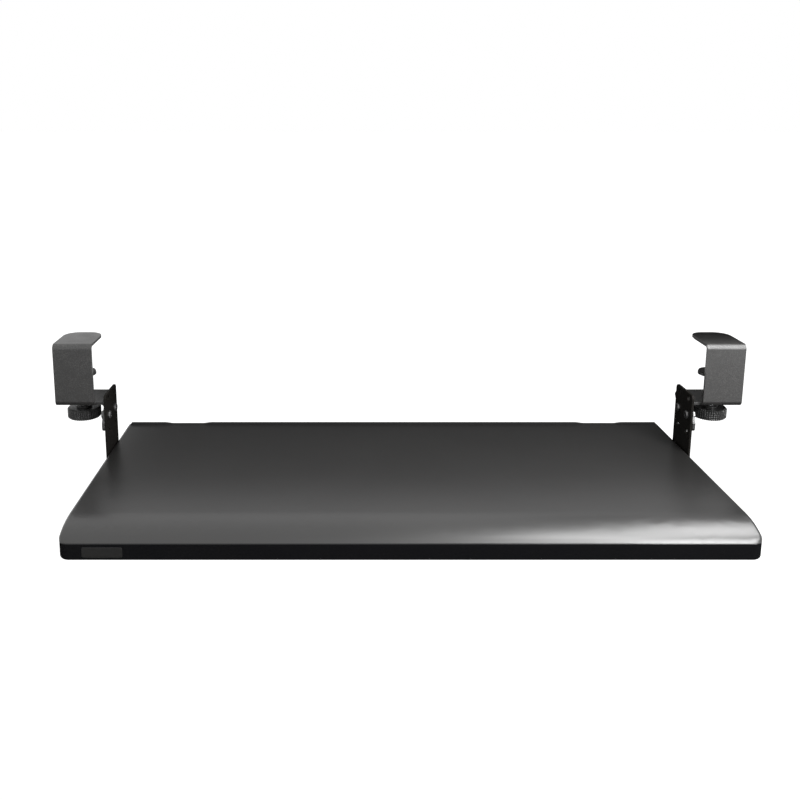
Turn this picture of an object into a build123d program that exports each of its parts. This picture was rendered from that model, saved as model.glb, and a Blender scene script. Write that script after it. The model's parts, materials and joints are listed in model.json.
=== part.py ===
from build123d import *
from math import cos, degrees, radians, sin
import os

# Lengths are in millimetres, angles in degrees
# X runs to the user's right, Y back under the desk, Z up
# The origin lies midway between the clamps, on the desk's front face and level with its top
# The tray stands pulled out against its stops, and each clamp is set for the desk below

# The desk that the clamps are set for
desk_thickness = 35.0

# Clamps, each bent from one steel sheet: jaw, front plate, lower jaw, arm and flange
clamp_sheet = 3.0
clamp_bend_radius = 3.0
clamp_width = 45.0
clamp_height = 74.0
jaw_reach = 57.0
jaw_corner_radius = 17.0
lower_jaw_reach = 53.0
lower_jaw_corner_radius = 9.0
arm_reach = 9.0
flange_drop = 29.0
flange_widening = 11.0
flange_slope_height = 16.0
flange_rear_margin = 8.5
flange_corner_radius = 4.0
jaw_pad_thickness = 1.5
jaw_pad_inset = 1.5

# Clamp screw, its nut and the knob on its lower end
screw_radius = 5.0
screw_setback = 27.0
screw_offset = 2.0
screw_chamfer = 1.0
screw_hole_clearance = 0.6
nut_width = 17.0
nut_height = 7.0
knob_radius = 19.5
knob_height = 12.5
knob_chamfer = 1.5
knob_drop = 9.5
knob_hub_radius = 9.0
knob_hub_height = 2.0
knob_floor = 3.0
knob_dish_radius = 13.0
knob_dish_depth = 1.2
knob_groove_width = 1.7
knob_groove_depth = 0.9
knob_groove_count = 44

# Pressure pad, which tilts and turns on the button at the screw's upper end
pad_radius = 16.0
pad_disc_height = 3.0
pad_boss_radius = 8.0
pad_boss_height = 3.5
pad_face_thickness = 1.5
pad_face_inset = 0.6
button_radius = 3.2
button_height = 2.4
button_depth = 3.3
button_neck_radius = 2.0
button_gap = 0.3
screw_shoulder_gap = 1.0

# Height plates, which hang on the flanges and carry the rollers
plate_sheet = 2.5
plate_front = -7.0
plate_depth = 50.0
plate_corner_radius = 5.0
plate_foot_radius = 7.0
plate_heel_drop = 6.5
plate_heel_slope = 12.0
plate_foot_margin = 12.0
row_pitch = 20.0
row_count = 3
row_margin = 6.5
column_pitch = 27.0
bolt_hole_radius = 3.4
bolt_row_drop = 12.5
lowest_row_rise = 23.0

# Height screws and their nuts
bolt_radius = 3.0
bolt_head_radius = 5.0
bolt_head_height = 2.6
bolt_head_chamfer = 1.2
bolt_socket_width = 4.0
bolt_socket_depth = 1.6
bolt_end = 0.4
bolt_nut_width = 9.0
bolt_nut_height = 2.4

# Rollers on riveted axles
front_axle_setback = 12.0
axle_spacing = 65.0
axle_radius = 2.5
axle_shank_radius = 3.0
axle_collar_radius = 4.5
axle_collar_length = 3.8
axle_head_radius = 4.0
axle_head_thickness = 1.5
rivet_head_radius = 4.5
rivet_head_thickness = 1.2
roller_width = 8.0
roller_side_gap = 0.2
roller_edge_chamfer = 0.6
roller_gap = 0.3
fit_clearance = 0.05

# Rails under the tray's side edges, with a stop in each end
rail_sheet = 2.0
rail_height = 20.0
rail_channel_depth = 13.0
rail_strip_width = 15.5
rail_edge_inset = 0.5
rail_front_gap = 1.0
rail_rear_inset = 4.0
stop_length = 5.0
stop_gap = 0.3

# Tray shell, one moulding with a rolled front, a rear lip and ribs below
tray_width = 676.0
tray_depth = 300.0
tray_side_gap = 0.8
tray_sheet = 3.0
tray_edge_height = 10.0
tray_edge_round = 3.5
front_corner_radius = 10.0
rear_corner_radius = 5.0
roll_depth = 43.0
roll_drop = 12.2
roll_end_angle = 25.0
front_land = 10.0
lip_height = 2.0
lip_foot_depth = 5.0
lip_foot_width = 6.5
lip_crest_width = 3.5
lip_round = 0.9
lip_end_round = 1.5
dip_centre = 262.0
dip_width = 60.0
dip_floor_width = 40.0
dip_depth = 1.5
dip_round = 20.0
rib_thickness = 2.0
rib_column_count = 9
rib_row_count = 3

# Front band, a moulded bar below the roll
band_height = 18.3
band_depth = 20.0
band_lower_round = 4.0
band_upper_round = 0.8
band_wall = 2.5
band_roof = 3.5
band_pocket_count = 10

# Self-tapping screws, which hold the rails and the band to the shell
tapping_radius = 1.75
tapping_length = 8.0
tapping_head_radius = 3.5
tapping_head_height = 2.2
tapping_boss_radius = 4.0
rail_screw_shares = (0.08, 0.5, 0.92)
band_screw_count = 6
band_screw_setback = 13.0

# How far cuts run past what they cut
overrun = 2.0

# Places worked out across the object, on its right side
tray_half = tray_width / 2
plate_inner = tray_half + tray_side_gap
plate_outer = plate_inner + plate_sheet
flange_outer = plate_outer + clamp_sheet
clamp_inner = flange_outer + arm_reach
clamp_outer = clamp_inner + clamp_width
screw_place = (clamp_inner + clamp_outer) / 2 - screw_offset
rail_outer = tray_half - rail_edge_inset
rail_web_outer = rail_outer - rail_channel_depth
rail_web_inner = rail_web_outer - rail_sheet
rail_strip_inner = rail_web_inner - rail_strip_width
rail_screw_x = (rail_strip_inner + rail_web_inner) / 2

# Places worked out in height
jaw_underside = jaw_pad_thickness
clamp_top = jaw_underside + clamp_sheet
clamp_bottom = clamp_top - clamp_height
lower_jaw_top = clamp_bottom + clamp_sheet
flange_bottom = clamp_bottom - flange_drop
bolt_row = clamp_bottom - bolt_row_drop
hole_rows = [bolt_row + row_pitch * (row - (row_count - 1) / 2) for row in range(row_count)]
tray_top = hole_rows[0] - lowest_row_rise
plate_top = hole_rows[-1] + row_margin
tray_underside = tray_top - tray_edge_height
rail_bottom = tray_underside - rail_height
axle_height = tray_underside - rail_height / 2
plate_bottom = rail_bottom - rail_sheet
band_top = tray_top - roll_drop
band_bottom = band_top - band_height

# Places worked out from the front to the rear
plate_rear = plate_front + plate_depth
hole_columns = [plate_front + (plate_depth + side * column_pitch) / 2 for side in (-1, 1)]
roller_radius = rail_height / 2 - rail_sheet - roller_gap
axle_places = (front_axle_setback, front_axle_setback + axle_spacing)
tray_rear = axle_places[1] + roller_radius + stop_gap + stop_length + rail_rear_inset
tray_front = tray_rear - tray_depth
roll_start = tray_front + roll_depth
band_rear = tray_front + band_depth
rail_front = band_rear + rail_front_gap
rail_rear = tray_rear - rail_rear_inset


def span_face(across, up):
    """A rectangle from its span across and its span up."""
    middle = Pos((across[0] + across[1]) / 2, (up[0] + up[1]) / 2)
    return middle * Rectangle(across[1] - across[0], up[1] - up[0])


def along_x(face, left, right):
    """A face drawn in Y and Z, drawn out from left to right."""
    return Pos(left, 0, 0) * extrude(Plane.YZ * face, right - left, dir=(1, 0, 0))


def along_y(face, front, rear):
    """A face drawn in X and Z, drawn out from the front to the rear."""
    return Pos(0, front, 0) * extrude(Plane.XZ * face, rear - front, dir=(0, 1, 0))


def along_z(face, bottom, top):
    """A face drawn in X and Y, drawn out from the bottom to the top."""
    return Pos(0, 0, bottom) * extrude(face, top - bottom, dir=(0, 0, 1))


def block(x, y, z):
    """A block from its span along each axis."""
    return along_z(span_face(x, y), z[0], z[1])


def upright(radius, x, y, bottom, top):
    """A round bar along Z."""
    return Pos(x, y, (bottom + top) / 2) * Cylinder(radius, top - bottom)


def crosswise(radius, left, right, y, z):
    """A round bar along X."""
    return Pos((left + right) / 2, y, z) * Rot(0, 90, 0) * Cylinder(radius, right - left)


def corner_at(face, across, up):
    """The corner of a face that lies nearest to a point."""
    return face.vertices().sort_by_distance((across, up))[0]


def bent_strip():
    """The clamp's jaw, front plate and lower jaw."""
    outline = Polyline(
        (-clamp_sheet, clamp_top),
        (jaw_reach, clamp_top),
        (jaw_reach, jaw_underside),
        (0, jaw_underside),
        (0, lower_jaw_top),
        (lower_jaw_reach, lower_jaw_top),
        (lower_jaw_reach, clamp_bottom),
        (-clamp_sheet, clamp_bottom),
        close=True,
    )
    section = make_face(outline)
    section = fillet(section.vertices().group_by(Axis.X)[1], clamp_bend_radius)
    section = fillet(section.vertices().group_by(Axis.X)[0], clamp_bend_radius + clamp_sheet)
    strip = along_x(section, clamp_inner, clamp_outer)
    uprights = strip.edges().filter_by(Axis.Z).group_by(Axis.Z)
    strip = fillet(uprights[-1], jaw_corner_radius)
    uprights = strip.edges().filter_by(Axis.Z).group_by(Axis.Z)
    return fillet(uprights[0].sort_by(Axis.X)[-1], lower_jaw_corner_radius)


def bent_arm():
    """The arm, which leaves the lower jaw sideways, and the flange bent down from it."""
    outside = span_face((plate_outer, clamp_inner), (flange_bottom, lower_jaw_top))
    inside = span_face((flange_outer, clamp_inner + overrun), (flange_bottom - overrun, clamp_bottom))
    outer_corner = corner_at(outside, plate_outer, lower_jaw_top)
    inner_corner = corner_at(inside, flange_outer, clamp_bottom)
    outside = fillet(outer_corner, clamp_bend_radius + clamp_sheet)
    inside = fillet(inner_corner, clamp_bend_radius)
    flange_front = clamp_bend_radius - flange_widening
    flange_rear = hole_columns[-1] + flange_rear_margin
    arm = along_y(outside - inside, flange_front, max(lower_jaw_reach, flange_rear))
    slope_top = clamp_bottom - clamp_bend_radius
    outline = Polyline(
        (clamp_bend_radius, clamp_top),
        (clamp_bend_radius, slope_top),
        (flange_front, slope_top - flange_slope_height),
        (flange_front, flange_bottom),
        (flange_rear, flange_bottom),
        (flange_rear, slope_top - flange_slope_height),
        (lower_jaw_reach, slope_top),
        (lower_jaw_reach, clamp_top),
        close=True,
    )
    side = make_face(outline)
    side = fillet(side.vertices().group_by(Axis.Y)[0], flange_corner_radius)
    return arm & along_x(side, plate_outer - overrun, clamp_inner + overrun)


def clamp_bracket():
    """One sheet of steel, bent into the clamp and the flange that the height plate hangs on."""
    bracket = bent_strip() + bent_arm()
    bracket -= upright(
        screw_radius + screw_hole_clearance,
        screw_place,
        screw_setback,
        clamp_bottom - overrun,
        lower_jaw_top + overrun,
    )
    for column in hole_columns:
        bracket -= crosswise(
            bolt_hole_radius, plate_outer - overrun, flange_outer + overrun, column, bolt_row
        )
    return bracket


def jaw_pad():
    """The thin pad under the jaw, which spares the desk's top."""
    across = (clamp_inner + jaw_pad_inset, clamp_outer - jaw_pad_inset)
    back = (clamp_bend_radius + jaw_pad_inset, jaw_reach - jaw_pad_inset)
    face = span_face(across, back)
    face = fillet(face.vertices().group_by(Axis.Y)[-1], jaw_corner_radius - jaw_pad_inset)
    return along_z(face, 0, jaw_pad_thickness)


def clamp_nut():
    """The nut welded on the lower jaw."""
    hexagon = RegularPolygon(nut_width / 2, 6, major_radius=False)
    body = Pos(screw_place, screw_setback) * along_z(
        hexagon, lower_jaw_top, lower_jaw_top + nut_height
    )
    return body - upright(
        screw_radius + fit_clearance,
        screw_place,
        screw_setback,
        lower_jaw_top - overrun,
        lower_jaw_top + nut_height + overrun,
    )


def pad_bottom():
    """The height of the pressure pad's underside."""
    return -desk_thickness - pad_face_thickness - pad_disc_height - pad_boss_height


def knob_top():
    """The height of the knob's grip, without its hub."""
    return clamp_bottom - knob_drop


def button_top():
    """The height of the button's upper face, inside the pad."""
    return -desk_thickness - button_depth


def clamp_screw():
    """The screw: a shank, then a neck and the button that carries the pad."""
    shoulder = pad_bottom() - screw_shoulder_gap
    foot = knob_top() - knob_height + knob_floor
    button_bottom = button_top() - button_height
    shank = upright(screw_radius, screw_place, screw_setback, foot, shoulder)
    shank = chamfer(shank.edges().group_by(Axis.Z)[-1], screw_chamfer)
    neck = upright(button_neck_radius, screw_place, screw_setback, shoulder, button_bottom)
    return shank + neck + upright(
        button_radius, screw_place, screw_setback, button_bottom, button_top()
    )


def knob_outline():
    """The grip's outline, with a V groove between each flat and the next."""
    half_turn = degrees(knob_groove_width / (2 * knob_radius))
    points = []
    for number in range(knob_groove_count):
        middle = 360 * number / knob_groove_count
        points.append(polar_point(knob_radius, middle - half_turn))
        points.append(polar_point(knob_radius - knob_groove_depth, middle))
        points.append(polar_point(knob_radius, middle + half_turn))
    return make_face(Polyline(*points, close=True))


def polar_point(radius, angle):
    """A point in a plane from its distance and direction."""
    return radius * cos(radians(angle)), radius * sin(radians(angle))


def knob_grip():
    """The grooved grip, bevelled at both ends."""
    outline = knob_outline()
    end = scale(outline, by=(knob_radius - knob_chamfer) / knob_radius)
    levels = (0, knob_chamfer, knob_height - knob_chamfer, knob_height)
    sections = [Pos(0, 0, level) * face for level, face in zip(levels, (end, outline, outline, end))]
    return loft(sections, ruled=True)


def clamp_knob():
    """The grooved knob, moulded round the screw's foot."""
    bottom = knob_top() - knob_height
    grip = Pos(screw_place, screw_setback, bottom) * knob_grip()
    grip += upright(
        knob_hub_radius, screw_place, screw_setback, knob_top(), knob_top() + knob_hub_height
    )
    grip -= upright(
        screw_radius + fit_clearance,
        screw_place,
        screw_setback,
        bottom + knob_floor,
        knob_top() + knob_hub_height + overrun,
    )
    return grip - upright(
        knob_dish_radius, screw_place, screw_setback, bottom - overrun, bottom + knob_dish_depth
    )


def pressure_pad():
    """The disc and boss that hold the button loosely."""
    bottom = pad_bottom()
    shelf = bottom + pad_boss_height
    top = shelf + pad_disc_height
    pad = upright(pad_radius, screw_place, screw_setback, shelf, top)
    pad += upright(pad_boss_radius, screw_place, screw_setback, bottom, shelf)
    pocket_bottom = button_top() - button_height - button_gap
    pocket_top = button_top() + button_gap
    pocket_radius = button_radius + button_gap
    pad -= upright(pocket_radius, screw_place, screw_setback, pocket_bottom, pocket_top)
    neck_hole = button_neck_radius + button_gap
    return pad - upright(neck_hole, screw_place, screw_setback, bottom - overrun, pocket_top)


def pad_face():
    """The rubber disc that presses on the desk's underside."""
    return upright(
        pad_radius - pad_face_inset,
        screw_place,
        screw_setback,
        -desk_thickness - pad_face_thickness,
        -desk_thickness,
    )


def height_plate():
    """The plate with three rows of holes, and the long foot that carries two rollers."""
    foot_rear = axle_places[1] + plate_foot_margin
    outline = Polyline(
        (plate_front, plate_top),
        (plate_front, plate_bottom),
        (foot_rear, plate_bottom),
        (foot_rear, tray_top - plate_heel_drop - plate_heel_slope),
        (plate_rear, tray_top - plate_heel_drop),
        (plate_rear, plate_top),
        close=True,
    )
    side = make_face(outline)
    side = fillet(side.vertices().group_by(Axis.Y)[-1], plate_corner_radius)
    side = fillet(side.vertices().group_by(Axis.Y)[0], plate_foot_radius)
    heel = corner_at(side, foot_rear, tray_top - plate_heel_drop - plate_heel_slope)
    side = fillet(heel, plate_corner_radius)
    plate = along_x(side, plate_inner, plate_outer)
    through = (plate_inner - overrun, plate_outer + overrun)
    for row in hole_rows:
        for column in hole_columns:
            plate -= crosswise(bolt_hole_radius, through[0], through[1], column, row)
    for place in axle_places:
        shank_hole = axle_shank_radius + fit_clearance
        plate -= crosswise(shank_hole, through[0], through[1], place, axle_height)
    return plate


def height_screw(column):
    """A button-head screw from inside the height plate."""
    head_left = plate_inner - bolt_head_height
    head = crosswise(bolt_head_radius, head_left, plate_inner, column, bolt_row)
    head = chamfer(head.edges().group_by(Axis.X)[0], bolt_head_chamfer)
    end = flange_outer + bolt_nut_height + bolt_end
    screw = head + crosswise(bolt_radius, plate_inner, end, column, bolt_row)
    hexagon = Pos(column, bolt_row) * RegularPolygon(bolt_socket_width / 2, 6, major_radius=False)
    return screw - along_x(hexagon, head_left - overrun, head_left + bolt_socket_depth)


def height_nut(column):
    """The nut on the flange's outer face."""
    hexagon = Pos(column, bolt_row) * RegularPolygon(bolt_nut_width / 2, 6, major_radius=False)
    nut = along_x(hexagon, flange_outer, flange_outer + bolt_nut_height)
    ends = (flange_outer - overrun, flange_outer + bolt_nut_height + overrun)
    return nut - crosswise(bolt_radius + fit_clearance, ends[0], ends[1], column, bolt_row)


def roller_axle(place):
    """A stepped pin riveted into the height plate's foot."""
    collar_inner = plate_inner - axle_collar_length
    head_outer = collar_inner - roller_width - 2 * roller_side_gap
    steps = (
        (rivet_head_radius, plate_outer, plate_outer + rivet_head_thickness),
        (axle_shank_radius, plate_inner, plate_outer),
        (axle_collar_radius, collar_inner, plate_inner),
        (axle_radius, head_outer, collar_inner),
        (axle_head_radius, head_outer - axle_head_thickness, head_outer),
    )
    bars = [crosswise(radius, left, right, place, axle_height) for radius, left, right in steps]
    return bars[0].fuse(*bars[1:])


def roller(place):
    """A nylon roller, free on its axle."""
    right = plate_inner - axle_collar_length - roller_side_gap
    left = right - roller_width
    tyre = crosswise(roller_radius, left, right, place, axle_height)
    tyre = chamfer(tyre.edges().filter_by(GeomType.CIRCLE), roller_edge_chamfer)
    bore = axle_radius + fit_clearance
    return tyre - crosswise(bore, left - overrun, right + overrun, place, axle_height)


def rail_screw_places():
    """Where the screws stand along a rail."""
    return [rail_front + share * (rail_rear - rail_front) for share in rail_screw_shares]


def rail():
    """A channel that opens outwards, with a strip along its top that is screwed to the shell."""
    outline = Polyline(
        (rail_strip_inner, tray_underside),
        (rail_outer, tray_underside),
        (rail_outer, tray_underside - rail_sheet),
        (rail_web_outer, tray_underside - rail_sheet),
        (rail_web_outer, rail_bottom + rail_sheet),
        (rail_outer, rail_bottom + rail_sheet),
        (rail_outer, rail_bottom),
        (rail_web_inner, rail_bottom),
        (rail_web_inner, tray_underside - rail_sheet),
        (rail_strip_inner, tray_underside - rail_sheet),
        close=True,
    )
    channel = along_y(make_face(outline), rail_front, rail_rear)
    hole = tapping_radius + fit_clearance
    bottom = tray_underside - rail_sheet - overrun
    for place in rail_screw_places():
        channel -= upright(hole, rail_screw_x, place, bottom, tray_underside + overrun)
    return channel


def rail_stop(front):
    """The plug in a rail's end, which a roller meets."""
    height = (rail_bottom + rail_sheet, tray_underside - rail_sheet)
    return block((rail_web_outer, rail_outer), (front, front + stop_length), height)


def tapping_screw(x, y, seat):
    """A pan-head screw driven up, its head below the seat."""
    head = upright(tapping_head_radius, x, y, seat - tapping_head_height, seat)
    return head + upright(tapping_radius, x, y, seat, seat + tapping_length)


def band_screw_places():
    """Where the screws stand along the front band, each in the middle of a pocket."""
    pitch = band_pocket_pitch()
    last = (band_pocket_count - 1) / 2
    step = 2 * last / (band_screw_count - 1)
    nearest = [round(-last + step * number + last) - last for number in range(band_screw_count)]
    return [pitch * place for place in nearest]


def band_pocket_pitch():
    """The distance from one pocket under the band to the next."""
    return (tray_width - 2 * front_corner_radius) / band_pocket_count


def tray_front_outline():
    """The tray's plan with its wide front corners, the rear corners still sharp."""
    plan = span_face((-tray_half, tray_half), (tray_front, tray_rear))
    return fillet(plan.vertices().group_by(Axis.Y)[0], front_corner_radius)


def tray_outline():
    """The tray's whole plan: wide front corners, small rear ones."""
    plan = tray_front_outline()
    return fillet(plan.vertices().group_by(Axis.Y)[-1], rear_corner_radius)


def roll_radii(inset):
    """Half the length and half the height of the ellipse that the roll follows."""
    length = roll_depth / cos(radians(roll_end_angle))
    height = roll_drop / (1 - sin(radians(roll_end_angle)))
    return length - inset, height - inset


def roll_centre():
    """The middle of the roll's ellipse."""
    return roll_start, tray_top - roll_radii(0)[1]


def shell_body():
    """The shell without its lip and hollows: the flat top runs into the roll, the rim is rounded."""
    length, height = roll_radii(0)
    turn = 90 - roll_end_angle
    roll = EllipticalCenterArc(roll_centre(), length, height, start_angle=90, arc_size=turn)
    rest = Polyline(
        roll @ 1,
        (tray_front, band_bottom),
        (tray_rear, band_bottom),
        (tray_rear, tray_top),
        roll @ 0,
    )
    body = along_x(make_face(roll + rest), -tray_half, tray_half)
    body &= along_z(tray_front_outline(), band_bottom, tray_top + overrun)
    body = fillet([edge for edge in body.edges() if on_upper_rim(edge)], tray_edge_round)
    body &= along_z(tray_outline(), band_top, tray_top + overrun)
    width = (-tray_half - overrun, tray_half + overrun)
    below = (band_bottom, tray_underside)
    return body - block(width, (band_rear, tray_rear + overrun), below)


def on_upper_rim(edge):
    """Whether an edge runs round the top's sides, front corners or front."""
    middle = edge @ 0.5
    beside = abs(middle.X) > tray_half - front_corner_radius
    ahead = middle.Y < tray_front + fit_clearance
    above = min((edge @ 0).Z, (edge @ 1).Z) > band_top - fit_clearance
    return above and middle.Y < tray_rear - fit_clearance and (beside or ahead)


def under_roll(turn):
    """A point on the underside of the roll's sheet, a turn on from where the roll starts."""
    length, height = roll_radii(tray_sheet)
    middle = roll_centre()
    return middle[0] - length * sin(radians(turn)), middle[1] + height * cos(radians(turn))


def shell_hollow():
    """The space below the shell's sheet, before the ribs are left in it."""
    turn = 90 - roll_end_angle
    roof = ThreePointArc(under_roll(0), under_roll(turn / 2), under_roll(turn))
    rest = Polyline(
        roof @ 1,
        (under_roll(turn)[0], band_bottom),
        (tray_rear - tray_sheet, band_bottom),
        (tray_rear - tray_sheet, tray_top - tray_sheet),
        roof @ 0,
    )
    hollow = along_x(make_face(roof + rest), tray_sheet - tray_half, tray_half - tray_sheet)
    ahead = (tray_front - front_corner_radius, tray_front + front_land)
    width = (-tray_half, tray_half)
    hollow -= block(width, ahead, (band_bottom - overrun, tray_top))
    inner = offset(tray_outline(), -tray_sheet)
    return hollow & along_z(inner, band_bottom - overrun, tray_top)


def shell_ribs():
    """The ribs across and along the hollow, two over the rails' webs, and the screws' bosses."""
    height = (band_bottom, tray_top)
    half = rib_thickness / 2
    column_pitch_x = tray_width / (rib_column_count + 1)
    row_pitch_y = tray_depth / (rib_row_count + 1)
    ribs = []
    for column in range(1, rib_column_count + 1):
        x = column * column_pitch_x - tray_half
        ribs.append(block((x - half, x + half), (tray_front, tray_rear), height))
    for row in range(1, rib_row_count + 1):
        y = tray_front + row * row_pitch_y
        ribs.append(block((-tray_half, tray_half), (y - half, y + half), height))
    for side in (-1, 1):
        span = sorted((side * rail_web_inner, side * rail_web_outer))
        ribs.append(block(span, (tray_front, tray_rear), height))
        for place in rail_screw_places():
            ribs.append(upright(tapping_boss_radius, side * rail_screw_x, place, *height))
    for place in band_screw_places():
        y = tray_front + band_screw_setback
        ribs.append(upright(tapping_boss_radius, place, y, *height))
    return ribs


def rear_lip():
    """The raised lip along the rear, with a shallow dip for cables near each end."""
    crest = tray_top + lip_height
    base = tray_top - lip_foot_depth
    outline = Polyline(
        (tray_rear, base),
        (tray_rear, crest),
        (tray_rear - lip_crest_width, crest),
        (tray_rear - lip_foot_width, tray_top),
        (tray_rear - lip_foot_width, base),
        close=True,
    )
    section = make_face(outline)
    section = fillet(section.vertices().group_by(Axis.Y)[-1], lip_round)
    end = tray_half - tray_edge_round
    lip = along_x(section, -end, end)
    ends = span_face((-end, end), (base, crest))
    ends = fillet(ends.vertices().group_by(Axis.Y)[-1], lip_end_round)
    lip &= along_y(ends, tray_rear - lip_foot_width, tray_rear)
    lip &= along_z(tray_outline(), base, crest + overrun)
    for side in (-1, 1):
        lip -= cable_dip(side * dip_centre, crest)
    return lip


def cable_dip(centre, crest):
    """What a cable dip takes out of the lip."""
    outline = Polyline(
        (centre - dip_width / 2, crest + overrun),
        (centre - dip_width / 2, crest),
        (centre - dip_floor_width / 2, crest - dip_depth),
        (centre + dip_floor_width / 2, crest - dip_depth),
        (centre + dip_width / 2, crest),
        (centre + dip_width / 2, crest + overrun),
        close=True,
    )
    face = make_face(outline)
    face = fillet(face.vertices().group_by(Axis.Y)[0], dip_round)
    return along_y(face, tray_rear - lip_foot_width - overrun, tray_rear + overrun)


def tray_shell():
    """The whole shell."""
    hollow = shell_hollow() - shell_ribs()
    shell = shell_body() - hollow + rear_lip()
    hole = tapping_radius + fit_clearance
    for side in (-1, 1):
        for place in rail_screw_places():
            top = tray_underside - rail_sheet + tapping_length + fit_clearance
            shell -= upright(hole, side * rail_screw_x, place, tray_underside - overrun, top)
    for place in band_screw_places():
        y = tray_front + band_screw_setback
        top = band_top - band_roof + tapping_length + fit_clearance
        shell -= upright(hole, place, y, band_top - overrun, top)
    return shell


def front_band():
    """The bar below the roll, hollowed from below between its ribs."""
    reach = block((-tray_half, tray_half), (tray_front, band_rear), (band_bottom, band_top))
    bar = reach & along_z(tray_outline(), band_bottom, band_top)
    outer = [edge for edge in bar.edges() if (edge @ 0.5).Y < band_rear - band_wall]
    bar = fillet(outer_edges_at(outer, band_bottom), band_lower_round)
    outer = [edge for edge in bar.edges() if (edge @ 0.5).Y < band_rear - band_wall]
    bar = fillet(outer_edges_at(outer, band_top), band_upper_round)
    pitch = band_pocket_pitch()
    hole = tapping_radius + fit_clearance
    for number in range(band_pocket_count):
        middle = pitch * (number - (band_pocket_count - 1) / 2)
        across = (middle - (pitch - band_wall) / 2, middle + (pitch - band_wall) / 2)
        back = (tray_front + band_wall + band_lower_round / 2, band_rear - band_wall)
        bar -= block(across, back, (band_bottom - overrun, band_top - band_roof))
    for place in band_screw_places():
        y = tray_front + band_screw_setback
        bar -= upright(hole, place, y, band_bottom, band_top + overrun)
    return bar


def outer_edges_at(edges, height):
    """Those of the given edges that lie level at a height."""
    return [edge for edge in edges if all(abs((edge @ t).Z - height) < fit_clearance for t in (0, 1))]


def both_sides(name, piece):
    """The right piece and its mirror image on the left."""
    return {"right_" + name: piece, "left_" + name: mirror(piece, about=Plane.YZ)}


def group(pieces):
    """Like pieces that stay separate solids in one file."""
    solids = [solid for piece in pieces for solid in piece.solids()]
    return Compound(children=solids)


def mirrored_group(pieces):
    """Pieces on the right and their mirror images, as one group."""
    return group(pieces + [mirror(piece, about=Plane.YZ) for piece in pieces])


parts = {"tray_shell": tray_shell(), "front_band": front_band()}
parts |= both_sides("clamp_bracket", clamp_bracket())
parts |= both_sides("jaw_pad", jaw_pad())
parts |= both_sides("clamp_nut", clamp_nut())
parts |= both_sides("clamp_screw", clamp_screw())
parts |= both_sides("clamp_knob", clamp_knob())
parts |= both_sides("pressure_pad", pressure_pad())
parts |= both_sides("pad_face", pad_face())
parts |= both_sides("height_plate", height_plate())
parts |= both_sides("rail", rail())
parts |= both_sides("front_stop", rail_stop(rail_front))
parts |= both_sides("rear_stop", rail_stop(rail_rear - stop_length))
for label, setback in zip(("front", "rear"), axle_places):
    parts |= both_sides(label + "_roller", roller(setback))
parts["roller_axles"] = mirrored_group([roller_axle(setback) for setback in axle_places])
parts["height_screws"] = mirrored_group([height_screw(column) for column in hole_columns])
parts["height_nuts"] = mirrored_group([height_nut(column) for column in hole_columns])
rail_seat = tray_underside - rail_sheet
parts["rail_screws"] = mirrored_group(
    [tapping_screw(rail_screw_x, place, rail_seat) for place in rail_screw_places()]
)
band_seat = band_top - band_roof
parts["band_screws"] = group(
    [
        tapping_screw(place, tray_front + band_screw_setback, band_seat)
        for place in band_screw_places()
    ]
)

os.makedirs("parts", exist_ok=True)
for name, piece in parts.items():
    export_step(piece, "parts/" + name + ".step")
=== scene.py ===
import json
import math

import bmesh
import bpy
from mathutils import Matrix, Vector


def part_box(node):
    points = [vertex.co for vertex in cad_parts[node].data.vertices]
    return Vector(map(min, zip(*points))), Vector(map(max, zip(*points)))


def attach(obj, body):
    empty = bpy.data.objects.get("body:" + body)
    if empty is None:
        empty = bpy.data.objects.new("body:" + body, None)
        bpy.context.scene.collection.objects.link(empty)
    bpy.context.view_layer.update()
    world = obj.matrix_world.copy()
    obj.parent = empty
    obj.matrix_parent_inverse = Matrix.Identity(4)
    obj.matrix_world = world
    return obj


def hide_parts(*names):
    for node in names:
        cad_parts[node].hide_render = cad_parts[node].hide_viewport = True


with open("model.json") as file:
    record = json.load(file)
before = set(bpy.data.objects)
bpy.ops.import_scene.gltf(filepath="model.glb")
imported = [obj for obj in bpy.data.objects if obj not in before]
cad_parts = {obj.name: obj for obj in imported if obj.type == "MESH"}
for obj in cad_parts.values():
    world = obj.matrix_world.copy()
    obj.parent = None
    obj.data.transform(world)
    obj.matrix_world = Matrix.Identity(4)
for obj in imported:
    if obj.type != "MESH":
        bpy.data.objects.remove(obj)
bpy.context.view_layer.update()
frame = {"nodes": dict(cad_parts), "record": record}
nodes = frame["nodes"]

MM = 0.001
SIDES = ("left", "right")

# Camera
CAMERA_PLACE = (-0.0665, -0.994, 0.268)
CAMERA_PITCH = math.radians(11)
CAMERA_LENS = 40.2
CAMERA_SHIFT = (0.0734, -0.145)
CAMERA_CLIP = 100

# Floor, far below the tray and wide enough to run out of the view
FLOOR_HEIGHT = -0.73
FLOOR_HALF = 40.0
FLOOR_GLOW = 1.0
FLOOR_GREY = 0.25

# Studio cards' finishes: how much each glows, and its own grey
CARD_FINISHES = {"black": (0.0, 0.0), "white": (0.6, 0.2), "light": (0.6, 0.0), "dim": (0.16, 0.0)}

# Hood over the rear of the tray: a light card between the clamps, with a white card up from its front
# edge, and then a wider dim one
HOOD_HEIGHT = -0.034
HOOD_FRONT = 0.01
HOOD_STEP = 0.065
HOOD_REAR = 0.7
HOOD_LIGHT_HALF = 0.3525
HOOD_DIM_HALF = 0.42
HOOD_EDGE_TOP = 0.0

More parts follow.
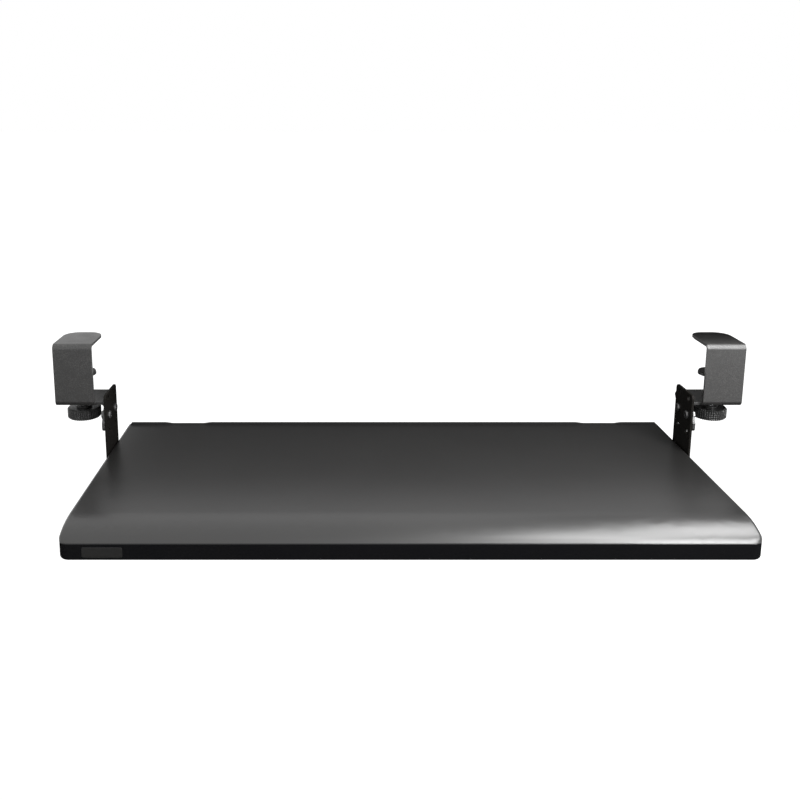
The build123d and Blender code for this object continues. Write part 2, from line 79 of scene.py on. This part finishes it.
# Black cards below, behind and to the right of the tray, and a small dim one over the right jaw
BELOW_HALF = 2.0
BELOW_REACH = (-2.4, 0.5)
BELOW_HEIGHT = -0.6
BACK_HALF = 0.8
BACK_HEIGHTS = (-0.7, -0.04)
RIGHT_FEET = ((0.45, 1.0), (1.6, 0.6))
RIGHT_HEIGHTS = (-0.1, 0.9)
JAW_CARD_ACROSS = (0.33, 0.5)
JAW_CARD_REACH = (0.004, 0.09)
JAW_CARD_HEIGHT = 0.03

# Softboxes on an arc about the tray's roll: place across, turn up from the back in degrees, watts
LAMP_AXIS = (-0.2, -0.13)
LAMP_REACH = 1.0
LAMP_SIZE = (0.3, 0.28)
LAMPS = (
    (0.45, 75, 1.2), (0.45, 90, 2.8), (0.4, 115, 3.0),
    (0.7, 60, 2.2), (0.7, 75, 3.0), (0.7, 105, 6.0), (0.7, 130, 8.0),
    (1.05, 155, 12.0),
)
SKY_STRENGTH = 1.0

# How the solids' edges are rounded and shaded
EDGE_ROUND = 0.3 * MM
EDGE_SEGMENTS = 2
EDGE_ANGLE = math.radians(30)
FLAT_ANGLE = math.radians(0.3)
JOIN_DISTANCE = 0.01 * MM
FACE_WEIGHT = 50

# Clamp screw, as the construction has it, with a thread
SCREW_RADIUS = 5.0 * MM
SCREW_PITCH = 1.5 * MM
SCREW_THREAD_DEPTH = 0.75 * MM
SCREW_LEAD_IN = 1.2 * MM
SCREW_SHOULDER = 6.2 * MM
NECK_RADIUS = 2.0 * MM
BUTTON_HEIGHT = 2.4 * MM
BUTTON_RADIUS = 3.2 * MM
SCREW_COLUMNS = 40
SCREW_ROWS_PER_TURN = 8

# Knob, as the construction has it, with cross cuts between its grooves
KNOB_RADIUS = 19.5 * MM
KNOB_GRIP_HEIGHT = 12.5 * MM
KNOB_CHAMFER = 1.5 * MM
KNOB_HUB_RADIUS = 9.0 * MM
KNOB_HUB_CHAMFER = 0.4 * MM
KNOB_DISH_RADIUS = 13.0 * MM
KNOB_DISH_DEPTH = 1.2 * MM
KNOB_DISH_FLOOR_SHARE = 0.98
KNOB_GROOVES = 44
KNOB_GROOVE_WIDTH = 1.7 * MM
KNOB_GROOVE_DEPTH = 0.9 * MM
KNOB_CUTS = 4
KNOB_CUT_WIDTH = 1.1 * MM
KNOB_CUT_DEPTH = 0.5 * MM
KNOB_COLUMNS_PER_GROOVE = 6
KNOB_COLUMNS = KNOB_GROOVES * KNOB_COLUMNS_PER_GROOVE
KNOB_ROWS = 40

# Weld bead round the nut
NUT_HALF_WIDTH = 8.5 * MM
NUT_SIDE_ANGLE = math.radians(60)
WELD_RADIUS = 1.5 * MM
WELD_RIPPLES = 40
WELD_RIPPLE_SHARE = 0.15
WELD_STEPS_PER_RIPPLE = 4
WELD_PROFILE_STEPS = 6

# Tapping screws below the tray, as the construction has them, with a cross recess
TAPPING_RADIUS = 1.75 * MM
TAPPING_LENGTH = 8.0 * MM
TAPPING_HEAD_RADIUS = 3.5 * MM
TAPPING_HEAD_HEIGHT = 2.2 * MM
TAPPING_COLUMNS = 64
# The head's outline from its rim to its foot: shares of its radius and of its height
TAPPING_HEAD_SHARES = ((1.0, 0.35), (0.96, 0.65), (0.86, 0.87), (0.7, 1.0))
# The cross recess, and the share of the head's radius within which its rings are drawn
RECESS_ARM = 1.75 * MM
RECESS_HALF_WIDTH = 0.36 * MM
RECESS_HUB = 0.6 * MM
RECESS_DEPTH = 1.2 * MM
RECESS_FIELD_SHARE = 0.58
RECESS_ROWS = 14
# Where the screws stand: shares of the way across from the first to the last, and rows from the middle
RAIL_SCREW_SHARES = (0, 1)
RAIL_SCREW_ROWS = (-115.5 * MM, 0, 115.5 * MM)
BAND_SCREW_SHARES = (0, 2 / 9, 4 / 9, 5 / 9, 7 / 9, 1)
BAND_SCREW_ROWS = (0,)

# Blank plate on the front band, let in as deep as it stands proud
BADGE_MIDDLE = -295 * MM
BADGE_SIZE = (39 * MM, 10.5 * MM)
BADGE_CORNER = 2 * MM
BADGE_CORNER_STEPS = 6
BADGE_THICKNESS = 0.3 * MM
BADGE_EDGE = 0.15 * MM
BADGE_EDGE_SEGMENTS = 2


def camera():
    """The camera at the photograph's viewing angle."""
    data = bpy.data.cameras.new("camera")
    data.lens = CAMERA_LENS
    data.shift_x, data.shift_y = CAMERA_SHIFT
    data.clip_end = CAMERA_CLIP
    eye = new_object("camera", data)
    eye.location = CAMERA_PLACE
    eye.rotation_euler = (math.pi / 2 - CAMERA_PITCH, 0, 0)
    bpy.context.scene.camera = eye


# Mesh helpers


def new_object(name, data):
    """An object in the scene for a mesh, a camera or a light."""
    made = bpy.data.objects.new(name, data)
    bpy.context.scene.collection.objects.link(made)
    return made


def mesh_from(name, build):
    """A mesh that the given function fills."""
    form = bmesh.new()
    build(form)
    bmesh.ops.recalc_face_normals(form, faces=form.faces)
    mesh = bpy.data.meshes.new(name)
    form.to_mesh(mesh)
    form.free()
    return mesh


def skin_rings(form, rings):
    """Joins rings of points into a surface and caps its ends."""
    rows = [[form.verts.new(point) for point in points] for points in rings]
    for lower, upper in zip(rows, rows[1:]):
        for here in range(len(lower)):
            after = (here + 1) % len(lower)
            form.faces.new((lower[here], lower[after], upper[after], upper[here]))
    form.faces.new(list(reversed(rows[0])))
    form.faces.new(rows[-1])


def turns_round(columns):
    """Evenly spaced angles round a circle."""
    return [2 * math.pi * column / columns for column in range(columns)]


def ring(centre, radius_at, height, columns):
    """A ring of points about an upright axis, its radius a function of the angle."""
    points = []
    for turn in turns_round(columns):
        radius = radius_at(turn)
        points.append((centre[0] + radius * math.cos(turn), centre[1] + radius * math.sin(turn), height))
    return points


def plain_ring(centre, radius, height, columns):
    """A round ring of points about an upright axis."""
    return ring(centre, lambda turn: radius, height, columns)


def groove(distance, width, depth):
    """How deep a V groove is at a distance from its middle."""
    return depth * max(0.0, 1 - abs(distance) / (width / 2))


def saw(value):
    """A wave from 0 at whole numbers to 1 halfway between them."""
    return 1 - abs(2 * (value % 1) - 1)


def upright_place(node):
    """Where a node stands: the middle of its box from above, its foot and its top."""
    low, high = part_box(node)
    return ((low.x + high.x) / 2, (low.y + high.y) / 2), low.z, high.z


# Materials


def material(name, base, roughness, metallic=0.0, specular=0.5):
    """A material with its shader's plain values set, its tree and its shader."""
    made = bpy.data.materials.new(name)
    made.use_nodes = True
    shader = made.node_tree.nodes["Principled BSDF"]
    shader.inputs["Base Color"].default_value = (*base, 1)
    shader.inputs["Roughness"].default_value = roughness
    shader.inputs["Metallic"].default_value = metallic
    shader.inputs["Specular IOR Level"].default_value = specular
    return made, made.node_tree, shader


def noise(tree, scale, detail=2.0, stretch=(1, 1, 1)):
    """A noise in the object's own metres."""
    place = tree.nodes.new("ShaderNodeTexCoord")
    fit = tree.nodes.new("ShaderNodeMapping")
    fit.inputs["Scale"].default_value = stretch
    made = tree.nodes.new("ShaderNodeTexNoise")
    made.inputs["Scale"].default_value = scale
    made.inputs["Detail"].default_value = detail
    tree.links.new(place.outputs["Object"], fit.inputs["Vector"])
    tree.links.new(fit.outputs["Vector"], made.inputs["Vector"])
    return made.outputs["Fac"]


def grey(value):
    """A neutral colour."""
    return (value, value, value)


def ramp(tree, source, start, end):
    """A colour ramp over a value, from one (place, colour) pair to another."""
    made = tree.nodes.new("ShaderNodeValToRGB")
    tree.links.new(source, made.inputs["Fac"])
    for point, (place, colour) in zip(made.color_ramp.elements, (start, end)):
        point.position = place
        point.color = (*colour, 1)
    return made.outputs["Color"]


def tint(tree, shader, source, start, end):
    """Lets a value pick the colour between two (place, colour) pairs."""
    tree.links.new(ramp(tree, source, start, end), shader.inputs["Base Color"])


def polish(tree, shader, source, start, end):
    """Lets a value pick the roughness between two (place, roughness) pairs."""
    smooth, rough = [(place, grey(value)) for place, value in (start, end)]
    tree.links.new(ramp(tree, source, smooth, rough), shader.inputs["Roughness"])


def bump(tree, shader, height, strength, distance):
    """Raises the surface by a value."""
    made = tree.nodes.new("ShaderNodeBump")
    made.inputs["Strength"].default_value = strength
    made.inputs["Distance"].default_value = distance
    tree.links.new(height, made.inputs["Height"])
    tree.links.new(made.outputs["Normal"], shader.inputs["Normal"])


def tray_plastic():
    """Charcoal moulding with a fine spark-eroded grain."""
    middle, dark, light = (0.011, 0.0108, 0.0106), (0.0095, 0.0093, 0.0091), (0.0125, 0.0122, 0.0119)
    made, tree, shader = material("tray_plastic", middle, roughness=0.3, specular=0.85)
    tint(tree, shader, noise(tree, scale=9.0, detail=3.0), (0.2, dark), (0.8, light))
    polish(tree, shader, noise(tree, scale=12.0), (0.1, 0.28), (0.9, 0.32))
    bump(tree, shader, noise(tree, scale=1500.0), strength=0.25, distance=0.1 * MM)
    return made


def band_gloss():
    """Smooth near-black gloss with faint handling marks and dust."""
    clean, dusty = (0.005, 0.005, 0.0056), (0.012, 0.012, 0.012)
    made, tree, shader = material("band_gloss", clean, roughness=0.12)
    haze = noise(tree, scale=25.0, detail=5.0, stretch=(1, 3, 3))
    polish(tree, shader, haze, (0.4, 0.1), (0.75, 0.2))
    tint(tree, shader, noise(tree, scale=900.0, detail=1.0), (0.7, clean), (0.78, dusty))
    bump(tree, shader, noise(tree, scale=60.0), strength=0.03, distance=0.3 * MM)
    return made


def powder_coat(name, dark, light, roughness, pebble_scale, pebble_strength, spread=0.05):
    """Textured powder coat: pebbled, with lighter grains on its peaks."""
    made, tree, shader = material(name, dark, roughness, specular=0.8)
    pebbles = noise(tree, pebble_scale, detail=3.0)
    tone = noise(tree, scale=40.0, detail=3.0)
    mix = tree.nodes.new("ShaderNodeMix")
    mix.data_type = "RGBA"
    speckled = ramp(tree, pebbles, (0.42, dark), (0.7, light))
    plain = ramp(tree, pebbles, (0.5, dark), (0.85, light))
    tree.links.new(ramp(tree, tone, (0.3, grey(0.0)), (0.7, grey(1.0))), mix.inputs["Factor"])
    tree.links.new(speckled, mix.inputs["A"])
    tree.links.new(plain, mix.inputs["B"])
    tree.links.new(mix.outputs["Result"], shader.inputs["Base Color"])
    polish(tree, shader, tone, (0.3, roughness - spread), (0.7, roughness + spread))
    bump(tree, shader, pebbles, pebble_strength, distance=0.2 * MM)
    return made


def clamp_steel():
    """Dark grey powder coat with a coarse, bright speckle."""
    dark, light = (0.0155, 0.0151, 0.0148), (0.06, 0.0588, 0.0578)
    return powder_coat("clamp_steel", dark, light, 0.42, pebble_scale=1100.0, pebble_strength=0.45)


def rail_steel():
    """Black powder coat with a low grain."""
    dark, light = grey(0.012), grey(0.025)
    return powder_coat("rail_steel", dark, light, 0.4, pebble_scale=700.0, pebble_strength=0.2)


def plate_steel():
    """Dull black coat with a brown cast and a few bright specks."""
    dark, light = (0.006, 0.0054, 0.0048), (0.022, 0.0198, 0.0176)
    made, tree, shader = material("plate_steel", dark, roughness=0.55, specular=0.08)
    specks = noise(tree, scale=900.0, detail=3.0)
    tint(tree, shader, specks, (0.5, dark), (0.78, light))
    polish(tree, shader, noise(tree, scale=60.0, detail=3.0), (0.3, 0.48), (0.7, 0.62))
    bump(tree, shader, specks, strength=0.25, distance=0.2 * MM)
    return made


def pad_rubber():
    """Dull black rubber, a little dusty."""
    middle, clean, dusty = grey(0.012), grey(0.01), (0.03, 0.029, 0.028)
    made, tree, shader = material("pad_rubber", middle, roughness=0.8)
    tint(tree, shader, noise(tree, scale=200.0, detail=4.0), (0.4, clean), (0.75, dusty))
    bump(tree, shader, noise(tree, scale=900.0), strength=0.3, distance=0.2 * MM)
    return made


def roller_nylon():
    """Off-white nylon, a little stained."""
    middle, clean, stained = (0.62, 0.6, 0.54), (0.66, 0.64, 0.58), (0.5, 0.48, 0.43)
    made, tree, shader = material("roller_nylon", middle, roughness=0.4)
    shader.inputs["Subsurface Weight"].default_value = 0.1
    shader.inputs["Subsurface Scale"].default_value = 2 * MM
    tint(tree, shader, noise(tree, scale=300.0, detail=4.0), (0.3, clean), (0.75, stained))
    bump(tree, shader, noise(tree, scale=700.0), strength=0.15, distance=0.2 * MM)
    return made


def plated_steel():
    """Zinc-plated steel with a passivated film and fine turning marks."""
    middle, bright, dull = (0.45, 0.45, 0.46), (0.5, 0.5, 0.51), (0.33, 0.33, 0.33)
    made, tree, shader = material("plated_steel", middle, roughness=0.32, metallic=1.0)
    film = noise(tree, scale=260.0, detail=3.0)
    tint(tree, shader, film, (0.35, bright), (0.7, dull))
    polish(tree, shader, film, (0.3, 0.26), (0.7, 0.42))
    marks = noise(tree, scale=2500.0, detail=1.0, stretch=(1, 1, 6))
    bump(tree, shader, marks, strength=0.12, distance=0.1 * MM)
    return made


def black_steel():
    """Blackened steel with an oily film."""
    middle, dark, light = (0.16, 0.16, 0.165), (0.1, 0.1, 0.104), (0.22, 0.216, 0.21)
    made, tree, shader = material("black_steel", middle, roughness=0.3, metallic=0.9)
    film = noise(tree, scale=500.0, detail=3.0)
    tint(tree, shader, film, (0.35, dark), (0.75, light))
    polish(tree, shader, film, (0.3, 0.28), (0.7, 0.42))
    bump(tree, shader, noise(tree, scale=1800.0), strength=0.1, distance=0.1 * MM)
    return made


def knob_plastic():
    """Moulded black plastic with a fine grain."""
    middle, dark, light = grey(0.014), grey(0.012), grey(0.045)
    made, tree, shader = material("knob_plastic", middle, roughness=0.3)
    tint(tree, shader, noise(tree, scale=500.0, detail=3.0), (0.4, dark), (0.75, light))
    bump(tree, shader, noise(tree, scale=1600.0), strength=0.35, distance=0.2 * MM)
    return made


def finishes():
    """Each material slot's finish."""
    return {
        "tray_plastic": tray_plastic(),
        "band_gloss": band_gloss(),
        "clamp_steel": clamp_steel(),
        "plate_steel": plate_steel(),
        "rail_steel": rail_steel(),
        "knob_plastic": knob_plastic(),
        "pad_rubber": pad_rubber(),
        "roller_nylon": roller_nylon(),
        "plated_steel": plated_steel(),
        "black_steel": black_steel(),
    }


def dress(piece, finish):
    """Gives a whole object one finish."""
    piece.data.materials.clear()
    piece.data.materials.append(finish)


def seamless():
    """A node group that joins the faces of a solid and shades them as one surface."""
    group = bpy.data.node_groups.new("seamless", "GeometryNodeTree")
    group.interface.new_socket("Geometry", in_out="INPUT", socket_type="NodeSocketGeometry")
    group.interface.new_socket("Geometry", in_out="OUTPUT", socket_type="NodeSocketGeometry")
    last = group.nodes.new("NodeGroupInput").outputs[0]
    plain = group.nodes.new("GeometryNodeRemoveAttribute")
    plain.inputs["Name"].default_value = "custom_normal"
    merge = group.nodes.new("GeometryNodeMergeByDistance")
    merge.inputs["Distance"].default_value = JOIN_DISTANCE
    faces = group.nodes.new("GeometryNodeSetShadeSmooth")
    edges = group.nodes.new("GeometryNodeSetShadeSmooth")
    edges.domain = "EDGE"
    for step in (plain, merge, faces, edges):
        group.links.new(last, step.inputs[0])
        last = step.outputs[0]
    group.links.new(last, group.nodes.new("NodeGroupOutput").inputs[0])
    return group


def soften(piece, group):
    """Joins a solid's faces, clears the cuts across its flats and rounds its sharp edges."""
    piece.modifiers.new("seamless", "NODES").node_group = group
    flats = piece.modifiers.new("flats", "DECIMATE")
    flats.decimate_type = "DISSOLVE"
    flats.angle_limit = FLAT_ANGLE
    edge = piece.modifiers.new("bevel", "BEVEL")
    edge.width = EDGE_ROUND
    edge.segments = EDGE_SEGMENTS
    edge.limit_method = "ANGLE"
    edge.angle_limit = EDGE_ANGLE
    normals = piece.modifiers.new("normals", "WEIGHTED_NORMAL")
    normals.weight = FACE_WEIGHT


# Pieces finer than the construction


def threaded_screw(side, finish):
    """The clamp screw with its thread, neck and button."""
    centre, foot, top = upright_place(f"{side}_clamp_screw")
    shoulder = top - SCREW_SHOULDER
    button_bottom = top - BUTTON_HEIGHT
    core = SCREW_RADIUS - SCREW_THREAD_DEPTH

    def thread_radius(height):
        fade = min(1.0, (height - foot) / SCREW_LEAD_IN, (shoulder - height) / SCREW_LEAD_IN)
        crest = core + (SCREW_RADIUS - core) * fade
        return lambda turn: core + (crest - core) * saw(height / SCREW_PITCH - turn / (2 * math.pi))

    rows = round((shoulder - foot) / SCREW_PITCH * SCREW_ROWS_PER_TURN)
    heights = [foot + (shoulder - foot) * row / rows for row in range(rows + 1)]
    rings = [ring(centre, thread_radius(height), height, SCREW_COLUMNS) for height in heights]
    for radius, height in (
        (NECK_RADIUS, shoulder), (NECK_RADIUS, button_bottom),
        (BUTTON_RADIUS, button_bottom), (BUTTON_RADIUS, top),
    ):
        rings.append(plain_ring(centre, radius, height, SCREW_COLUMNS))
    piece = new_object(f"{side}_threaded_screw", mesh_from("screw", lambda form: skin_rings(form, rings)))
    dress(piece, finish)
    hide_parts(f"{side}_clamp_screw")
    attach(piece, f"{side}_screw")


def knob_radius(turn, height, grip_foot, grip_top):
    """The knob's grip: upright grooves, and cuts across the lands between them."""
    pitch = 2 * math.pi / KNOB_GROOVES
    from_groove = ((turn + pitch / 2) % pitch - pitch / 2) * KNOB_RADIUS
    lengthwise = groove(from_groove, KNOB_GROOVE_WIDTH, KNOB_GROOVE_DEPTH)
    share = (height - grip_foot) / (grip_top - grip_foot)
    spacing = (grip_top - grip_foot) / (KNOB_CUTS + 1)
    nearest = max(1, min(KNOB_CUTS, round(share * (KNOB_CUTS + 1))))
    crosswise = groove(height - grip_foot - nearest * spacing, KNOB_CUT_WIDTH, KNOB_CUT_DEPTH)
    ends = max(0.0, KNOB_CHAMFER - (height - grip_foot), KNOB_CHAMFER - (grip_top - height))
    return KNOB_RADIUS - max(lengthwise, crosswise) - ends


def knurled_knob(side, finish):
    """The knob with crisp grooves, cross cuts, its dish and its hub."""
    centre, foot, top = upright_place(f"{side}_clamp_knob")
    grip_top = foot + KNOB_GRIP_HEIGHT

    def plain(radius, height):
        return plain_ring(centre, radius, height, KNOB_COLUMNS)

    def grip(height):
        return ring(centre, lambda turn: knob_radius(turn, height, foot, grip_top), height, KNOB_COLUMNS)

    rings = [
        plain(KNOB_DISH_RADIUS * KNOB_DISH_FLOOR_SHARE, foot + KNOB_DISH_DEPTH),
        plain(KNOB_DISH_RADIUS, foot),
    ]
    rings += [grip(foot + KNOB_GRIP_HEIGHT * row / KNOB_ROWS) for row in range(KNOB_ROWS + 1)]
    rings += [
        plain(KNOB_HUB_RADIUS, grip_top),
        plain(KNOB_HUB_RADIUS, top - KNOB_HUB_CHAMFER),
        plain(KNOB_HUB_RADIUS - KNOB_HUB_CHAMFER, top),
        plain(SCREW_RADIUS, top),
    ]
    piece = new_object(f"{side}_knurled_knob", mesh_from("knob", lambda form: skin_rings(form, rings)))
    dress(piece, finish)
    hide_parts(f"{side}_clamp_knob")
    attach(piece, f"{side}_screw")


def weld_bead(side, finish):
    """The rippled weld round the foot of the nut."""
    centre, foot, _ = upright_place(f"{side}_clamp_nut")
    profile = [math.pi * step / WELD_PROFILE_STEPS for step in range(WELD_PROFILE_STEPS + 1)]
    sections = []
    for turn in turns_round(WELD_RIPPLES * WELD_STEPS_PER_RIPPLE):
        from_middle = turn % NUT_SIDE_ANGLE - NUT_SIDE_ANGLE / 2
        reach = NUT_HALF_WIDTH / math.cos(from_middle)
        ripple = WELD_RIPPLE_SHARE * math.cos(WELD_RIPPLES * turn)
        swell = WELD_RADIUS * (1 - WELD_RIPPLE_SHARE + ripple)
        outward = Vector((math.cos(turn), math.sin(turn), 0))
        middle = Vector((*centre, foot)) + outward * reach
        sections.append([
            middle + outward * swell * math.cos(part) + Vector((0, 0, swell * math.sin(part)))
            for part in profile
        ])

    def build(form):
        rows = [[form.verts.new(point) for point in section] for section in sections]
        for here, row in enumerate(rows):
            after = rows[(here + 1) % len(rows)]
            for place in range(len(row)):
                beside = (place + 1) % len(row)
                form.faces.new((row[place], row[beside], after[beside], after[place]))

    piece = new_object(f"{side}_weld_bead", mesh_from("weld", build))
    for face in piece.data.polygons:
        face.use_smooth = True
    dress(piece, finish)
    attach(piece, "frame")


def recess_depth(radius, turn):
    """How deep the cross recess is at a place on a screw's head."""
    from_arm = (turn + math.pi / 4) % (math.pi / 2) - math.pi / 4
    in_arm = abs(radius * math.sin(from_arm)) < RECESS_HALF_WIDTH and radius < RECESS_ARM
    return RECESS_DEPTH if in_arm or radius < RECESS_HUB else 0.0


def tapping_screw(form, centre, top):
    """A pan-head screw, its head down, with a cross recess."""
    seat = top - TAPPING_LENGTH
    foot = seat - TAPPING_HEAD_HEIGHT
    outline = [(TAPPING_RADIUS, top), (TAPPING_RADIUS, seat), (TAPPING_HEAD_RADIUS, seat)]
    for radius_share, height_share in TAPPING_HEAD_SHARES:
        outline.append((radius_share * TAPPING_HEAD_RADIUS, seat - height_share * TAPPING_HEAD_HEIGHT))
    rings = [plain_ring(centre, radius, height, TAPPING_COLUMNS) for radius, height in outline]
    for row in range(RECESS_ROWS, 0, -1):
        radius = RECESS_FIELD_SHARE * TAPPING_HEAD_RADIUS * row / RECESS_ROWS
        flat = plain_ring(centre, radius, foot, TAPPING_COLUMNS)
        turns = turns_round(TAPPING_COLUMNS)
        rings.append([(x, y, z + recess_depth(radius, turn)) for (x, y, z), turn in zip(flat, turns)])
    skin_rings(form, rings)


def tapping_screws(node, shares, rows, finish):
    """A node's tapping screws in place of the construction's plain ones."""
    low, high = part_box(node)
    first, last = low.x + TAPPING_HEAD_RADIUS, high.x - TAPPING_HEAD_RADIUS
    middle = (low.y + high.y) / 2

    def build(form):
        for share in shares:
            for row in rows:
                tapping_screw(form, (first + (last - first) * share, middle + row), high.z)

    piece = new_object(f"{node}_recessed", mesh_from(node, build))
    dress(piece, finish)
    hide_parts(node)
    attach(piece, "tray")


def badge(finish):
    """The blank plate near the band's left end."""
    low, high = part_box("front_band")
    height = (low.z + high.z) / 2
    half_x, half_z = BADGE_SIZE[0] / 2, BADGE_SIZE[1] / 2
    outline = []
    for quarter, (side_x, side_z) in enumerate(((1, 1), (-1, 1), (-1, -1), (1, -1))):
        for step in range(BADGE_CORNER_STEPS + 1):
            turn = math.pi / 2 * (quarter + step / BADGE_CORNER_STEPS)
            x = BADGE_MIDDLE + side_x * (half_x - BADGE_CORNER) + BADGE_CORNER * math.cos(turn)
            z = height + side_z * (half_z - BADGE_CORNER) + BADGE_CORNER * math.sin(turn)
            outline.append((x, z))
    depths = (low.y + BADGE_THICKNESS, low.y - BADGE_THICKNESS)
    rings = [[(x, depth, z) for x, z in outline] for depth in depths]
    piece = new_object("badge_plate", mesh_from("badge", lambda form: skin_rings(form, rings)))
    edge = piece.modifiers.new("bevel", "BEVEL")
    edge.width = BADGE_EDGE
    edge.segments = BADGE_EDGE_SEGMENTS
    dress(piece, finish)
    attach(piece, "tray")


# Stage and light


def plane_mesh(name, corners):
    """A flat mesh through the given corners."""
    return mesh_from(name, lambda form: form.faces.new([form.verts.new(corner) for corner in corners]))


def level(across, reach, height):
    """The corners of a level card."""
    (left, right), (front, rear) = across, reach
    return [(left, front, height), (right, front, height), (right, rear, height), (left, rear, height)]


def upright(feet, heights):
    """The corners of an upright card on two places of the ground plan."""
    (start, end), (foot, top) = feet, heights
    return [(*start, foot), (*end, foot), (*end, top), (*start, top)]


def glowing(name, glow, shade):
    """A matte grey that glows white."""
    made, _, shader = material(name, grey(shade), roughness=1.0, specular=0.0)
    shader.inputs["Emission Color"].default_value = (1, 1, 1, 1)
    shader.inputs["Emission Strength"].default_value = glow
    return made


def stage():
    """A plain white floor that runs far back."""
    span = (-FLOOR_HALF, FLOOR_HALF)
    floor = new_object("floor", plane_mesh("floor", level(span, span, FLOOR_HEIGHT)))
    dress(floor, glowing("floor", FLOOR_GLOW, FLOOR_GREY))


def card(name, corners, finish, shade=False):
    """A studio card that the camera doesn't see, and that casts a shadow if it shades."""
    made = new_object(name, plane_mesh(name, corners))
    dress(made, finish)
    made.visible_camera = False
    made.visible_shadow = shade
    made.visible_transmission = False


def cards():
    """Dark and light cards that shape the reflections."""
    finish = {name: glowing(f"card_{name}", glow, shade) for name, (glow, shade) in CARD_FINISHES.items()}
    light_span = (-HOOD_LIGHT_HALF, HOOD_LIGHT_HALF)
    dim_span = (-HOOD_DIM_HALF, HOOD_DIM_HALF)
    edge_feet = [(x, HOOD_FRONT) for x in light_span]
    back_feet = [(x, HOOD_REAR) for x in (-BACK_HALF, BACK_HALF)]
    card("card_below", level((-BELOW_HALF, BELOW_HALF), BELOW_REACH, BELOW_HEIGHT), finish["black"])
    card("card_above", level(light_span, (HOOD_FRONT, HOOD_STEP), HOOD_HEIGHT), finish["light"], shade=True)
    card("card_over", level(dim_span, (HOOD_STEP, HOOD_REAR), HOOD_HEIGHT), finish["dim"], shade=True)
    card("card_edge", upright(edge_feet, (HOOD_HEIGHT, HOOD_EDGE_TOP)), finish["white"])
    card("card_back", upright(back_feet, BACK_HEIGHTS), finish["black"])
    card("card_right", upright(RIGHT_FEET, RIGHT_HEIGHTS), finish["black"], shade=True)
    card("card_jaw", level(JAW_CARD_ACROSS, JAW_CARD_REACH, JAW_CARD_HEIGHT), finish["dim"], shade=True)


def softbox(name, place, target, power):
    """A softbox that points at a place."""
    data = bpy.data.lights.new(name, "AREA")
    data.shape = "RECTANGLE"
    data.size, data.size_y = LAMP_SIZE
    data.energy = power
    light = new_object(name, data)
    light.location = place
    light.rotation_euler = (Vector(target) - Vector(place)).to_track_quat("-Z", "Y").to_euler()


def lights():
    """White surroundings, and softboxes that light the tray's roll."""
    world = bpy.data.worlds.new("studio")
    bpy.context.scene.world = world
    world.use_nodes = True
    sky = world.node_tree.nodes["Background"]
    sky.inputs["Color"].default_value = (1, 1, 1, 1)
    sky.inputs["Strength"].default_value = SKY_STRENGTH
    axis_y, axis_z = LAMP_AXIS
    for number, (x, degrees, power) in enumerate(LAMPS):
        turn = math.radians(degrees)
        place = (x, axis_y + LAMP_REACH * math.cos(turn), axis_z + LAMP_REACH * math.sin(turn))
        softbox(f"softbox_{number}", place, (x, axis_y, axis_z), power)


def colours():
    """Plain colours, as a product photograph is printed."""
    bpy.context.scene.view_settings.view_transform = "Standard"


camera()
stage()
cards()
lights()
colours()
finish_of = finishes()
group = seamless()
for part in frame["record"]["subparts"]:
    dress(nodes[part["node"]], finish_of[part["material_slot"]])
    soften(nodes[part["node"]], group)
for side in SIDES:
    threaded_screw(side, finish_of["plated_steel"])
    knurled_knob(side, finish_of["knob_plastic"])
    weld_bead(side, finish_of["clamp_steel"])
tapping_screws("rail_screws", RAIL_SCREW_SHARES, RAIL_SCREW_ROWS, finish_of["plated_steel"])
tapping_screws("band_screws", BAND_SCREW_SHARES, BAND_SCREW_ROWS, finish_of["plated_steel"])
badge(finish_of["tray_plastic"])
